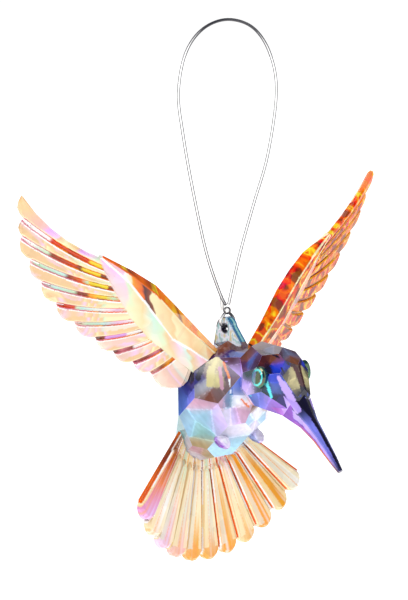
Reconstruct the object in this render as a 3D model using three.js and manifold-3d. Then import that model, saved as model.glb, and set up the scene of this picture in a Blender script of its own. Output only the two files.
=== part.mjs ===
// A faceted acrylic hummingbird that hangs from a loop of clear cord.
//
// Millimetres, +Z up. The bird flies towards -Y, and its left side is +X.
// The origin is the inside top of the cord loop, where a hook holds it.
//
// Points on the bird are given as at(forward, left, up), counted from the
// centre of the hole in the hang tab.

import * as THREE from 'three';
import * as BufferGeometryUtils from 'three/addons/utils/BufferGeometryUtils.js';
import Module from 'manifold-3d';

const wasm = await Module();
wasm.setup();

const at = (forward, left, up) => new THREE.Vector3(left, -forward, up);
const degrees = THREE.MathUtils.degToRad;

// ---------------------------------------------------------------- sizes

const CLEARANCE = 0.3;          // between pieces that touch

// cord
const CORD_DIAMETER = 1;
const CORD_SIDES = 8;
const LOOP_STEPS = 70;
const BIGHT_STEPS = 26;
const KNOT_RADIUS = 1.3;
const KNOT_ENTRY = -40;         // where the bight meets the knot, in degrees up from its side
const CORD_BEND = 2;            // radius of the bight's bends, in cord diameters
const CORD_END_LENGTH = 4.6;
const CORD_END_LEAN = 0.5;      // how far the cut end leans back over its length

const LOOP_END_SIDE = 0.7;      // from the middle of the knot to each end of the loop
const LOOP_END_RISE = 1.9;

// the loop's route between its two ends, as [left, up] from the hole's centre
const LOOP_ROUTE = [
  [-3.4, 11.8], [-9.4, 25], [-15.4, 45], [-19.8, 63], [-21.8, 76], [-18.6, 88.4], [-10.8, 96],
  [0.4, 98.8], [12, 96], [19.8, 87.6], [22.8, 75], [18.8, 55], [12, 38.8], [6.2, 24.5],
  [2.2, 12.4],
];
const LOOP_TOP = 98.8;          // the route's highest point

// hang tab
const HOLE_DIAMETER = 2.8;
const TAB_RIM = 2.4;            // material round the hole
const TAB_THICKNESS = 2.2;
const TAB_BASE_REAR = -4.8;     // how far the base reaches behind and ahead of the hole
const TAB_BASE_FRONT = 8.4;
const TAB_FOOT = -10;           // the base runs down into the back
const TAB_FRONT_TURN = degrees(12); // where the front edge leaves the round top

// torso, neck and shoulders: smooth lobes that the facets are cut round
const TORSO_CENTRE = at(-1.9, 0, -27);
const TORSO_HALF_LENGTH = 20.8;
const TORSO_HALF_WIDTH = 13;
const TORSO_HALF_DEPTH = 12.2;
const TORSO_LEAN = degrees(47); // the tail end leans this far behind straight down
const NECK_CENTRE = at(7, 0, -15.6);
const NECK_RADIUS = 9.6;
const SHOULDER_CENTRE = at(-1.4, 6.6, -15.2);
const SHOULDER_RADIUS = 8.3;

// head
const SKULL_CENTRE = at(20.6, 0, -14.2);
const SKULL_HALF_LENGTH = 11.4;
const SKULL_HALF_WIDTH = 9.7;
const SKULL_HALF_HEIGHT = 10.2;
const HEAD_DROP = degrees(38);  // how far the facets' axis points below level
const SNOUT_CENTRE = at(28, 0, -19.8);
const SNOUT_RADIUS = 5.8;

// beak
const BEAK_SIDES = 6;

// places along the beak and its thickness there, starting inside the head
const BEAK_STATIONS = [
  { place: at(22, 0, -15.6), width: 17.6, height: 17.4 },
  { place: at(31, 0, -22.6), width: 11.2, height: 10.6 },
  { place: at(36, 0, -26.8), width: 6.5, height: 6.2 },
  { place: at(40.6, 0, -31), width: 4.6, height: 4.5 },
  { place: at(46, 0, -36.8), width: 3.2, height: 3.1 },
  { place: at(49.3, 0, -40.4), width: 1.8, height: 1.8 },
];

// eyes
const EYE_PLACE = at(24.2, 9.4, -12.4);
const EYE_FACING = at(0.24, 0.96, 0.12);
const EYE_HALF_WIDTH = 2.5;
const EYE_HALF_HEIGHT = 3.4;
const EYE_RIM_HEIGHT = 1.5;
const EYE_DOME = 0.9;
const EYE_SEAT_CUT = 4.9;       // how far out the cut for the seat runs
const EYE_SIDES = 24;

// feet, two small lugs on the belly
const FOOT_PLACE = at(5.4, 7.8, -35.2);
const FOOT_HALF_LENGTH = 3.7;
const FOOT_HALF_WIDTH = 2.2;
const FOOT_TILT = degrees(28);

// wings, in their own plane: span runs from the shoulder to the tip, chord from
// the leading edge to the trailing edge, and height stands out of the front face
const WING_ROOT = at(3.3, 8.8, -5);
const WING_SPAN_DIRECTION = at(-0.125, 0.796, 0.592);
const WING_FACING = at(0.88, 0.365, -0.305);
const WING_WRIST = 54;          // span at the bend
const PLATE_REACH_IN = 6;       // how far the arm plate runs in past the shoulder
const PLATE_STATIONS = [-PLATE_REACH_IN, 8, 15.5, 22, 31, 41, 49.5, WING_WRIST];
const PLATE_TAPER = 0.55;       // share of its thickness that the plate loses by the wrist
const PLATE_EDGE_THICKNESS = 1.3;
const PLATE_EDGE_SLOPE = 0.5;
const PLATE_CREASE = 0.3;       // place of the crease between the leading edge and the ridge
const PLATE_CREASE_HEIGHT = 2.1;
const PLATE_RIDGE_HEIGHT = 3;
const PLATE_SEAM_HEIGHT = 1.7;
const PLATE_SEAM_DEPTH = 1.5;
const PLATE_BACK_DEPTH = 2.4;
const FEATHER_THICKNESS = 2.2;
const FEATHER_BEVEL = 0.6;
const FEATHER_GROOVE = 0.5;     // between the tops of neighbouring feathers
const FEATHER_TIP_ROUND = 0.22; // how far a tip bulges, as a share of the feather's width
const WEB_THICKNESS = 1;        // the sheet that joins the feathers
const WEB_REACH = 0.9;          // how far along the grooves it runs

// the grooves between feathers, numbered from the wrist inwards
const GROOVE_LENGTHS = [33, 33.5, 30.5, 27.5, 24, 20, 16, 13.5, 11, 9.5];
const GROOVE_FIRST_SPAN = 49.9;
const GROOVE_PITCH = 3.6;       // span from one groove's root to the next
const GROOVE_PITCH_GAIN = 0.1;
const GROOVE_HEADING = 7;       // degrees from the span to the first groove
const GROOVE_FAN = 4.9;         // degrees from one groove to the next
const GROOVE_FAN_GAIN = 0.28;
const GROOVE_BOW = degrees(8);
const GROOVE_OVERLAP = 0.8;     // how far a groove's root runs into the plate

// the wing's tenon, which stands in a socket in the shoulder
const WING_TENON_LENGTH = 5.5;
const WING_TENON_CHORD = 7;
const WING_TENON_THICKNESS = 2.4;
const WING_TENON_PLACE = 7.2;   // chord at the tenon's middle

// tail fan
const TAIL_APEX = at(-12.6, 0, -24.1);
const TAIL_FEATHER_COUNT = 11;
const TAIL_HALF_ANGLE = degrees(47.5);
const TAIL_MIDDLE_LENGTH = 53.4;
const TAIL_SIDE_LENGTH = 49.8;
const TAIL_MIDDLE_TILT = degrees(4.6);
const TAIL_SIDE_TILT = degrees(12);
const TAIL_RIB_START = 21.5;
const TAIL_RIB_THICKNESS = 3.4;
const TAIL_RIB_BEVEL = 0.9;
const TAIL_RIB_INSET = 0.15;    // half the groove between two ribs
const TAIL_RIB_POINT = 2.6;     // length of a rib's pointed root
const TAIL_TIP_ROUND = 0.94;    // radius of a tip, as a share of the rib's half width
const TAIL_WEB_START = 8;
const TAIL_WEB_INSET = 3.4;     // from the feather's tip to the end of the web
const TAIL_WEB_OVERLAP = 1.12;
const TAIL_TENON_TOP = 10;
const TAIL_TENON_WIDTH = 9;
const TAIL_TENON_THICKNESS = 2.6;
const TAIL_TENON_OVERLAP = 2;   // how far the tenon runs into the ribs

// ------------------------------------------------------------ materials

const clearAcrylic = { roughness: 0.05, metalness: 0 };
const bodyMaterial = () => new THREE.MeshStandardMaterial({ color: 0x6a5fb4, ...clearAcrylic });
const wingMaterial = () => new THREE.MeshStandardMaterial({ color: 0xf2b27a, ...clearAcrylic });
const tailMaterial = () => new THREE.MeshStandardMaterial({ color: 0xf0b050, ...clearAcrylic });
const eyeMaterial = () => new THREE.MeshStandardMaterial({ color: 0x49c8d8, ...clearAcrylic });
const cordMaterial = () => new THREE.MeshStandardMaterial({ color: 0xd8d8dc, ...clearAcrylic });

// -------------------------------------------------------- solid helpers

function solidOf(geometry) {
  const bare = geometry.clone();
  bare.deleteAttribute('normal');
  bare.deleteAttribute('uv');
  const merged = BufferGeometryUtils.mergeVertices(bare, 1e-5);
  return new wasm.Manifold(new wasm.Mesh({
    numProp: 3,
    vertProperties: new Float32Array(merged.attributes.position.array),
    triVerts: new Uint32Array(merged.index.array),
  }));
}

function geometryOf(solid) {
  const mesh = solid.getMesh();
  const geometry = new THREE.BufferGeometry();
  geometry.setAttribute('position', new THREE.BufferAttribute(mesh.vertProperties, 3));
  geometry.setIndex(new THREE.BufferAttribute(mesh.triVerts, 1));
  geometry.computeVertexNormals();
  return geometry;
}

function joined(solids) {
  return solids.reduce((whole, solid) => whole.add(solid));
}

// The mirror image across the bird's middle plane, with its faces still out.
function mirrored(geometry) {
  const copy = geometry.clone();
  copy.scale(-1, 1, 1);
  const index = copy.index.array;
  for (let i = 0; i < index.length; i += 3) {
    [index[i], index[i + 1]] = [index[i + 1], index[i]];
  }
  copy.computeVertexNormals();
  return copy;
}

// A closed solid through rings of equal point counts, capped at both ends.
function loft(rings) {
  const sides = rings[0].length;
  const positions = rings.flat().flatMap((point) => point.toArray());
  const index = [];
  for (let ring = 0; ring + 1 < rings.length; ring += 1) {
    for (let side = 0; side < sides; side += 1) {
      const next = (side + 1) % sides;
      const low = ring * sides;
      const high = low + sides;
      index.push(low + side, low + next, high + next);
      index.push(low + side, high + next, high + side);
    }
  }
  const last = (rings.length - 1) * sides;
  for (let side = 1; side + 1 < sides; side += 1) {
    index.push(0, side + 1, side);
    index.push(last, last + side, last + side + 1);
  }
  const geometry = new THREE.BufferGeometry();
  geometry.setAttribute('position', new THREE.Float32BufferAttribute(positions, 3));
  geometry.setIndex(index);
  return geometry;
}

// A flat outline given a thickness, centred on its own plane, edges bevelled inwards.
function slab(outline, thickness, bevel = 0) {
  const geometry = new THREE.ExtrudeGeometry(new THREE.Shape(outline), {
    depth: thickness - 2 * bevel,
    bevelEnabled: bevel > 0,
    bevelThickness: bevel,
    bevelSize: bevel,
    bevelOffset: -bevel,
    bevelSegments: 1,
    curveSegments: 8,
  });
  geometry.translate(0, 0, bevel - thickness / 2);
  return geometry;
}

// ------------------------------------------------------- faceted lobes

// A lobe is an ellipsoid: its centre, three axes and the reach along each.
function lobe(centre, reaches, lean = 0) {
  const turn = new THREE.Matrix4().makeRotationX(lean);
  const axes = [new THREE.Vector3(), new THREE.Vector3(), new THREE.Vector3()];
  turn.extractBasis(...axes);
  return { centre, axes, reaches };
}

// How far a set of lobes reaches along a direction, from the tab hole.
function support(lobes, direction) {
  return Math.max(...lobes.map(({ centre, axes, reaches }) => (
    centre.dot(direction) + Math.hypot(...axes.map((axis, i) => reaches[i] * axis.dot(direction)))
  )));
}

// Facet directions in rings round an axis in the bird's middle plane. Each ring is
// [degrees from the axis, facets, whether a facet faces forward].
function facetDirections(axis, rings) {
  const side = new THREE.Vector3(1, 0, 0);
  const forward = new THREE.Vector3().crossVectors(axis, side);
  return rings.flatMap(([fromAxis, count, facesForward]) => (
    Array.from({ length: count }, (_, i) => {
      const round = 2 * Math.PI * (i + (facesForward ? 0 : 0.5)) / count;
      return new THREE.Vector3()
        .addScaledVector(axis, Math.cos(degrees(fromAxis)))
        .addScaledVector(forward, Math.sin(degrees(fromAxis)) * Math.cos(round))
        .addScaledVector(side, Math.sin(degrees(fromAxis)) * Math.sin(round));
    })
  ));
}

// The solid that flat cuts leave round the lobes, one cut for each direction.
// A margin moves every cut outwards.
function facetedSolid(lobes, directions, margin = 0) {
  const blockSize = 160;
  const middle = lobes[0].centre;
  let solid = solidOf(new THREE.BoxGeometry(blockSize, blockSize, blockSize)
    .translate(middle.x, middle.y, middle.z));
  for (const direction of directions) {
    const turn = new THREE.Quaternion().setFromUnitVectors(new THREE.Vector3(0, 0, 1), direction);
    const distance = support(lobes, direction) + margin - middle.dot(direction);
    const place = middle.clone().addScaledVector(direction, distance + blockSize);
    const cut = new THREE.BoxGeometry(blockSize * 4, blockSize * 4, blockSize * 2)
      .applyQuaternion(turn)
      .translate(place.x, place.y, place.z);
    solid = solid.subtract(solidOf(cut));
  }
  return solid;
}

// ---------------------------------------------------------------- torso

const torsoLobes = [
  lobe(TORSO_CENTRE, [TORSO_HALF_WIDTH, TORSO_HALF_DEPTH, TORSO_HALF_LENGTH], TORSO_LEAN),
  lobe(NECK_CENTRE, [NECK_RADIUS, NECK_RADIUS, NECK_RADIUS]),
  ...[1, -1].map((side) => lobe(
    new THREE.Vector3(side * SHOULDER_CENTRE.x, SHOULDER_CENTRE.y, SHOULDER_CENTRE.z),
    [SHOULDER_RADIUS, SHOULDER_RADIUS, SHOULDER_RADIUS],
  )),
];
const torsoAxis = at(-Math.sin(TORSO_LEAN), 0, -Math.cos(TORSO_LEAN));
const torsoDirections = facetDirections(torsoAxis, [
  [0, 1, true], [34, 6, false], [62, 9, true], [90, 9, false], [118, 9, true], [148, 6, false],
  [180, 1, true],
]);
const torsoSolid = (margin = 0) => facetedSolid(torsoLobes, torsoDirections, margin);

// ----------------------------------------------------------------- head

const headLobes = [
  lobe(SKULL_CENTRE, [SKULL_HALF_WIDTH, SKULL_HALF_LENGTH, SKULL_HALF_HEIGHT]),
  lobe(SNOUT_CENTRE, [SNOUT_RADIUS, SNOUT_RADIUS, SNOUT_RADIUS]),
];
const headAxis = at(Math.cos(HEAD_DROP), 0, -Math.sin(HEAD_DROP));
const headDirections = facetDirections(headAxis, [
  [0, 1, true], [34, 6, true], [62, 8, false], [90, 8, true], [120, 8, false], [180, 1, true],
]);

function beakRing({ place, width, height }, lean) {
  const upward = at(Math.sin(lean), 0, Math.cos(lean));
  return Array.from({ length: BEAK_SIDES }, (_, i) => {
    const round = Math.PI * (2 * i + 1) / BEAK_SIDES;
    return place.clone()
      .addScaledVector(new THREE.Vector3(1, 0, 0), Math.cos(round) * width / 2)
      .addScaledVector(upward, Math.sin(round) * height / 2);
  });
}

function beakSolid() {
  const last = BEAK_STATIONS.length - 1;
  const rings = BEAK_STATIONS.map((station, i) => {
    const before = BEAK_STATIONS[Math.max(i - 1, 0)].place;
    const after = BEAK_STATIONS[Math.min(i + 1, last)].place;
    const run = after.clone().sub(before);
    return beakRing(station, Math.atan2(-run.z, -run.y));
  });
  return solidOf(loft(rings));
}

// -------------------------------------------------------------- hang tab

const tabRadius = HOLE_DIAMETER / 2 + TAB_RIM;

// Drawn in the bird's middle plane, as (forward, up) from the hole.
function tabSolid() {
  const outline = new THREE.Shape();
  outline.moveTo(TAB_BASE_REAR, TAB_FOOT);
  outline.lineTo(TAB_BASE_FRONT, TAB_FOOT);
  outline.lineTo(TAB_BASE_FRONT, TAB_FOOT / 2);
  outline.absarc(0, 0, tabRadius, TAB_FRONT_TURN, Math.PI, false);
  outline.lineTo(TAB_BASE_REAR, TAB_FOOT / 2);
  const hole = new THREE.Path();
  hole.absarc(0, 0, HOLE_DIAMETER / 2, 0, 2 * Math.PI, true);
  outline.holes.push(hole);
  const geometry = new THREE.ExtrudeGeometry(outline, {
    depth: TAB_THICKNESS,
    bevelEnabled: false,
    curveSegments: 12,
  });
  geometry.translate(0, 0, -TAB_THICKNESS / 2);
  geometry.applyMatrix4(new THREE.Matrix4().makeBasis(at(1, 0, 0), at(0, 0, 1), at(0, -1, 0)));
  return solidOf(geometry);
}

// ------------------------------------------------------------------ eyes

function placedFacing(geometry, place, facing) {
  const outward = facing.clone().normalize();
  const sideways = new THREE.Vector3().crossVectors(at(0, 0, 1), outward).normalize();
  const upward = new THREE.Vector3().crossVectors(outward, sideways);
  geometry.applyMatrix4(new THREE.Matrix4().makeBasis(sideways, upward, outward));
  geometry.translate(place.x, place.y, place.z);
  return geometry;
}

// An oval button with a low dome, its foot in the seat.
function eyeGeometry() {
  const domeSteps = 4;
  const profile = [new THREE.Vector2(0, 0), new THREE.Vector2(1, 0)];
  for (let step = 0; step <= domeSteps; step += 1) {
    const angle = (Math.PI / 2) * (step / domeSteps);
    const radius = step === domeSteps ? 0 : Math.cos(angle);
    profile.push(new THREE.Vector2(radius, EYE_RIM_HEIGHT + EYE_DOME * Math.sin(angle)));
  }
  const geometry = new THREE.LatheGeometry(profile, EYE_SIDES);
  geometry.rotateX(Math.PI / 2);
  geometry.scale(EYE_HALF_WIDTH, EYE_HALF_HEIGHT, 1);
  return placedFacing(geometry, EYE_PLACE, EYE_FACING);
}

function eyeSeatSolid() {
  const geometry = new THREE.CylinderGeometry(1, 1, EYE_SEAT_CUT, EYE_SIDES);
  geometry.rotateX(Math.PI / 2);
  geometry.scale(EYE_HALF_WIDTH + CLEARANCE, EYE_HALF_HEIGHT + CLEARANCE, 1);
  geometry.translate(0, 0, EYE_SEAT_CUT / 2 - CLEARANCE);
  return solidOf(placedFacing(geometry, EYE_PLACE, EYE_FACING));
}

// ------------------------------------------------------------------ feet

function footSolid() {
  const geometry = new THREE.SphereGeometry(1, 10, 7);
  geometry.rotateZ(Math.PI / 2);
  geometry.scale(FOOT_HALF_WIDTH, FOOT_HALF_LENGTH, FOOT_HALF_WIDTH);
  geometry.rotateX(FOOT_TILT);
  geometry.translate(FOOT_PLACE.x, FOOT_PLACE.y, FOOT_PLACE.z);
  return solidOf(geometry);
}

// ----------------------------------------------------------------- wings

// Wing points are given as [span, chord]. In the wing's own axes the chord is X,
// the span is Y and the front face looks along +Z.
const wingPoint = (span, chord) => new THREE.Vector2(chord, span);

function wingMatrix() {
  const span = WING_SPAN_DIRECTION.clone().normalize();
  const front = WING_FACING.clone();
  front.addScaledVector(span, -front.dot(span)).normalize();
  const chord = new THREE.Vector3().crossVectors(span, front);
  return new THREE.Matrix4().makeBasis(chord, span, front).setPosition(WING_ROOT);
}

// A line through hand-set [span, value] corners.
function lineThrough(corners) {
  return (span) => {
    const after = corners.findIndex(([place]) => place >= span);
    if (after <= 0) {
      return after === 0 ? corners[0][1] : corners.at(-1)[1];
    }
    const [[fromSpan, fromValue], [toSpan, toValue]] = [corners[after - 1], corners[after]];
    return fromValue + (toValue - fromValue) * (span - fromSpan) / (toSpan - fromSpan);
  };
}

const leadingEdge = lineThrough([
  [-PLATE_REACH_IN, 0.6], [0, 0], [12, -1.3], [30.5, -3.4], [41, -2.3], [WING_WRIST, -0.4],
]);
const plateRidge = lineThrough([
  [-PLATE_REACH_IN, 4], [8, 5.2], [15.5, 6.2], [31, 2.8], [41, 0.9], [WING_WRIST, 0.4],
]);
const plateSeam = lineThrough([
  [-PLATE_REACH_IN, 10.2], [6, 10.8], [21, 10.8], [31, 9.4], [41, 6.4], [49.5, 3.2],
  [WING_WRIST, 0.9],
]);

// How far the plate's leading edge is swept back from the wing's plane.
const plateEdgeBack = lineThrough([
  [-PLATE_REACH_IN, -1], [8, -1.6], [22, -2.8], [41, -2.8], [WING_WRIST, -0.5],
]);

// The arm plate: a thick, flat-faceted piece from the shoulder to the wrist.
function armPlate() {
  const rings = PLATE_STATIONS.map((span) => {
    const lead = leadingEdge(span);
    const ridge = plateRidge(span);
    const seam = plateSeam(span);
    const back = plateEdgeBack(span);
    const taper = 1 - PLATE_TAPER * Math.max(span, 0) / WING_WRIST;
    const section = [
      [lead + PLATE_EDGE_SLOPE, back],
      [lead, back + PLATE_EDGE_THICKNESS],
      [lead + PLATE_CREASE * (ridge - lead), PLATE_CREASE_HEIGHT * taper],
      [ridge, PLATE_RIDGE_HEIGHT * taper],
      [seam, PLATE_SEAM_HEIGHT * taper],
      [seam, -PLATE_SEAM_DEPTH * taper],
      [ridge, -PLATE_BACK_DEPTH * taper],
    ];
    return section.map(([chord, height]) => new THREE.Vector3(chord, span, height));
  });
  return solidOf(loft(rings));
}

// The groove between two neighbouring feathers, from its root on the plate's seam.
function grooveCurve(number) {
  const rootSpan = GROOVE_FIRST_SPAN - GROOVE_PITCH * number - GROOVE_PITCH_GAIN * number ** 2;
  const heading = degrees(GROOVE_HEADING + GROOVE_FAN * number + GROOVE_FAN_GAIN * number ** 2);
  const root = wingPoint(rootSpan, plateSeam(rootSpan) - GROOVE_OVERLAP);
  const reach = GROOVE_LENGTHS[number];
  const towards = (angle, distance) => wingPoint(
    root.y + distance * Math.cos(angle),
    root.x + distance * Math.sin(angle),
  );
  return new THREE.QuadraticBezierCurve(
    root,
    towards(heading + GROOVE_BOW, reach / 2),
    towards(heading, reach),
  );
}

// The outer boundary of the first feather is the leading edge of the hand, and the
// inner boundary of the last one lies along the torso.
const handEdge = new THREE.QuadraticBezierCurve(
  wingPoint(51, -0.2), wingPoint(70, 5.6), wingPoint(88.2, 0.6),
);
const torsoEdge = new THREE.QuadraticBezierCurve(
  wingPoint(2, 10.2), wingPoint(0, 14), wingPoint(-0.5, 16.8),
);

function featherEdges() {
  const grooves = GROOVE_LENGTHS.map((_, number) => grooveCurve(number));
  return [handEdge, ...grooves, torsoEdge];
}

// Points along an edge, moved sideways by half a groove into the feather.
function insetEdge(edge, inset, steps) {
  return Array.from({ length: steps + 1 }, (_, i) => {
    const share = i / steps;
    const point = edge.getPoint(share);
    const along = edge.getTangent(share);
    return new THREE.Vector2(point.x + along.y * inset, point.y - along.x * inset);
  });
}

function featherOutline(outer, inner) {
  const steps = 5;
  const tipSteps = 4;
  const outerSide = insetEdge(outer, FEATHER_GROOVE / 2, steps);
  const innerSide = insetEdge(inner, -FEATHER_GROOVE / 2, steps);
  const from = outerSide.at(-1);
  const to = innerSide.at(-1);
  const across = to.clone().sub(from);
  const outward = new THREE.Vector2(-across.y, across.x).multiplyScalar(FEATHER_TIP_ROUND);
  const tip = Array.from({ length: tipSteps - 1 }, (_, i) => {
    const share = (i + 1) / tipSteps;
    return from.clone()
      .addScaledVector(across, share)
      .addScaledVector(outward, Math.sin(Math.PI * share));
  });
  return [...outerSide, ...tip, ...innerSide.reverse()];
}

function leftWingSolid() {
  const edges = featherEdges();
  const feathers = edges.slice(1).map((inner, i) => (
    solidOf(slab(featherOutline(edges[i], inner), FEATHER_THICKNESS, FEATHER_BEVEL))
  ));
  const webOutline = [
    wingPoint(-1, 4),
    ...insetEdge(handEdge, FEATHER_BEVEL, 6).slice(0, -1),
    ...edges.slice(1, -1).map((edge) => edge.getPoint(WEB_REACH)),
    torsoEdge.getPoint(WEB_REACH),
  ];
  const web = solidOf(slab(webOutline, WEB_THICKNESS));
  return joined([armPlate(), web, ...feathers]);
}

// Half of this box stands in the torso and half is buried in the plate.
function wingTenon(clearance = 0) {
  return new THREE.BoxGeometry(
    WING_TENON_CHORD + 2 * clearance,
    (WING_TENON_LENGTH + clearance) * 2,
    WING_TENON_THICKNESS + 2 * clearance,
  ).translate(WING_TENON_PLACE, 0, 0);
}

// ------------------------------------------------------------------ tail

// One feather's axes: X across it, Y outwards from the fan's apex, Z to the front.
function tailFeatherMatrix(angle, tilt) {
  const outward = at(
    Math.sin(tilt), Math.sin(angle) * Math.cos(tilt), -Math.cos(angle) * Math.cos(tilt),
  );
  const front = at(Math.cos(tilt), -Math.sin(angle) * Math.sin(tilt), Math.cos(angle) * Math.sin(tilt));
  const across = new THREE.Vector3().crossVectors(outward, front);
  return new THREE.Matrix4().makeBasis(across, outward, front).setPosition(TAIL_APEX);
}

// A wedge with a pointed root and a round tip.
function tailRibOutline(length, halfPitch) {
  const halfWidthAt = (distance) => distance * Math.tan(halfPitch) - TAIL_RIB_INSET;
  const tipRadius = halfWidthAt(length) * TAIL_TIP_ROUND;
  const tipCentre = length - tipRadius;
  const shoulder = TAIL_RIB_START + TAIL_RIB_POINT;
  const outline = new THREE.Shape();
  outline.moveTo(0, TAIL_RIB_START);
  outline.lineTo(halfWidthAt(shoulder), shoulder);
  outline.absarc(0, tipCentre, tipRadius, 0, Math.PI, false);
  outline.lineTo(-halfWidthAt(shoulder), shoulder);
  return outline.getPoints(4);
}

function tailWebOutline(length, halfPitch) {
  const from = TAIL_WEB_START;
  const to = length - TAIL_WEB_INSET;
  const spread = Math.tan(halfPitch * TAIL_WEB_OVERLAP);
  return [
    new THREE.Vector2(from * spread, from), new THREE.Vector2(to * spread, to),
    new THREE.Vector2(-to * spread, to), new THREE.Vector2(-from * spread, from),
  ];
}

function tailSolid() {
  const halfPitch = TAIL_HALF_ANGLE / (TAIL_FEATHER_COUNT - 1);
  const parts = Array.from({ length: TAIL_FEATHER_COUNT }, (_, i) => {
    const angle = TAIL_HALF_ANGLE * (2 * i / (TAIL_FEATHER_COUNT - 1) - 1);
    const outness = (Math.sin(angle) / Math.sin(TAIL_HALF_ANGLE)) ** 2;
    const tilt = THREE.MathUtils.lerp(TAIL_MIDDLE_TILT, TAIL_SIDE_TILT, outness);
    const length = THREE.MathUtils.lerp(TAIL_MIDDLE_LENGTH, TAIL_SIDE_LENGTH, outness);
    const matrix = tailFeatherMatrix(angle, tilt);
    const rib = slab(tailRibOutline(length, halfPitch), TAIL_RIB_THICKNESS, TAIL_RIB_BEVEL);
    const web = slab(tailWebOutline(length, halfPitch), WEB_THICKNESS);
    return solidOf(rib.applyMatrix4(matrix)).add(solidOf(web.applyMatrix4(matrix)));
  });
  return joined(parts);
}

function tailTenon(clearance = 0) {
  const outerEnd = TAIL_RIB_START + TAIL_TENON_OVERLAP;
  const innerEnd = TAIL_TENON_TOP - clearance;
  const box = new THREE.BoxGeometry(
    TAIL_TENON_WIDTH + 2 * clearance,
    outerEnd - innerEnd,
    TAIL_TENON_THICKNESS + 2 * clearance,
  ).translate(0, (outerEnd + innerEnd) / 2, 0);
  return solidOf(box.applyMatrix4(tailFeatherMatrix(0, TAIL_MIDDLE_TILT)));
}

// ------------------------------------------------- castings put together

const torsoRoom = torsoSolid(CLEARANCE);

const leftTenon = (clearance) => solidOf(wingTenon(clearance).applyMatrix4(wingMatrix()));
const leftWingPlaced = solidOf(geometryOf(leftWingSolid()).applyMatrix4(wingMatrix()));
const leftWing = geometryOf(leftWingPlaced.subtract(torsoRoom).add(leftTenon(0)));
const rightWing = mirrored(leftWing);

const tailFan = geometryOf(tailSolid().subtract(torsoRoom).add(tailTenon(0)));

const leftEye = eyeGeometry();
const rightEye = mirrored(leftEye);

const bothSides = (solid) => [solid, solidOf(mirrored(geometryOf(solid)))];

const bodyBlank = joined([
  torsoSolid(),
  facetedSolid(headLobes, headDirections),
  beakSolid(),
  tabSolid(),
  ...bothSides(footSolid()),
]);
const sockets = joined([
  ...bothSides(leftTenon(CLEARANCE)),
  ...bothSides(eyeSeatSolid()),
  tailTenon(CLEARANCE),
]);
const body = geometryOf(bodyBlank.subtract(sockets));

// ------------------------------------------------------------------ cord

function cordTube(points, steps) {
  const section = new THREE.Shape(Array.from({ length: CORD_SIDES }, (_, i) => {
    const round = 2 * Math.PI * i / CORD_SIDES;
    return new THREE.Vector2(Math.cos(round), Math.sin(round)).multiplyScalar(CORD_DIAMETER / 2);
  }));
  const extrudePath = new THREE.CatmullRomCurve3(points, false, 'centripetal');
  return new THREE.ExtrudeGeometry(section, { steps, extrudePath, bevelEnabled: false });
}

const bightFloor = HOLE_DIAMETER / 2 - CLEARANCE - CORD_DIAMETER / 2;
const bightBend = CORD_BEND * CORD_DIAMETER;
const edgeRoom = CORD_DIAMETER / 2 + CLEARANCE;
const knotRise = tabRadius + 2 * CLEARANCE + KNOT_RADIUS;

// Points on an arc in the plane across the tab, its angles in degrees up from straight out.
const arcAcross = (side, [out, up], radius, angles) => angles.map((angle) => at(
  0,
  side * (out + radius * Math.cos(degrees(angle))),
  up + radius * Math.sin(degrees(angle)),
));

// From the hole out past one face of the tab, then over its top edge and in to the knot.
const bightLegRoute = (side) => [
  ...arcAcross(side, [TAB_THICKNESS / 2, bightFloor + bightBend], bightBend, [-90, -60, -30, 0]),
  ...arcAcross(side, [TAB_THICKNESS / 2, tabRadius], edgeRoom, [45]),
  ...arcAcross(side, [0, knotRise], KNOT_RADIUS + CLEARANCE, [KNOT_ENTRY]),
];
const bightRoute = [...bightLegRoute(-1).reverse(), ...bightLegRoute(1)];

const loopRoute = [
  at(0, -LOOP_END_SIDE, knotRise + LOOP_END_RISE),
  ...LOOP_ROUTE.map(([left, up]) => at(0, left, up)),
  at(0, LOOP_END_SIDE, knotRise + LOOP_END_RISE),
];

// The cut end stands behind the knot and leans away from the loop.
const cordEndRoute = [0, 0.5, 1].map((share) => at(
  -(KNOT_RADIUS + CLEARANCE + CORD_DIAMETER / 2) - CORD_END_LEAN * share,
  0,
  knotRise + CORD_END_LENGTH * share,
));

// ---------------------------------------------------------------- object

function namedMesh(name, geometry, material) {
  const mesh = new THREE.Mesh(geometry, material);
  mesh.name = name;
  return mesh;
}

const bird = new THREE.Group();
bird.add(
  namedMesh('body', body, bodyMaterial()),
  namedMesh('left_wing', leftWing, wingMaterial()),
  namedMesh('right_wing', rightWing, wingMaterial()),
  namedMesh('tail_fan', tailFan, tailMaterial()),
  namedMesh('left_eye', leftEye, eyeMaterial()),
  namedMesh('right_eye', rightEye, eyeMaterial()),
);

const cord = new THREE.Group();
const knot = namedMesh('cord_knot', new THREE.SphereGeometry(KNOT_RADIUS, 12, 8), cordMaterial());
knot.position.copy(at(0, 0, knotRise));
cord.add(
  namedMesh('cord_loop', cordTube(loopRoute, LOOP_STEPS), cordMaterial()),
  namedMesh('cord_bight', cordTube(bightRoute, BIGHT_STEPS), cordMaterial()),
  namedMesh('cord_end', cordTube(cordEndRoute, 3), cordMaterial()),
  knot,
);

const ornament = new THREE.Group();
ornament.add(bird, cord);
ornament.position.z = CORD_DIAMETER / 2 - LOOP_TOP;

export default ornament;
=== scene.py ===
"""Looks for a faceted acrylic hummingbird that hangs from a loop of clear cord."""

import math

import bmesh
import bpy
from mathutils import Color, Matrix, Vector, noise
from mathutils.bvhtree import BVHTree
from mathutils.kdtree import KDTree


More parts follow.
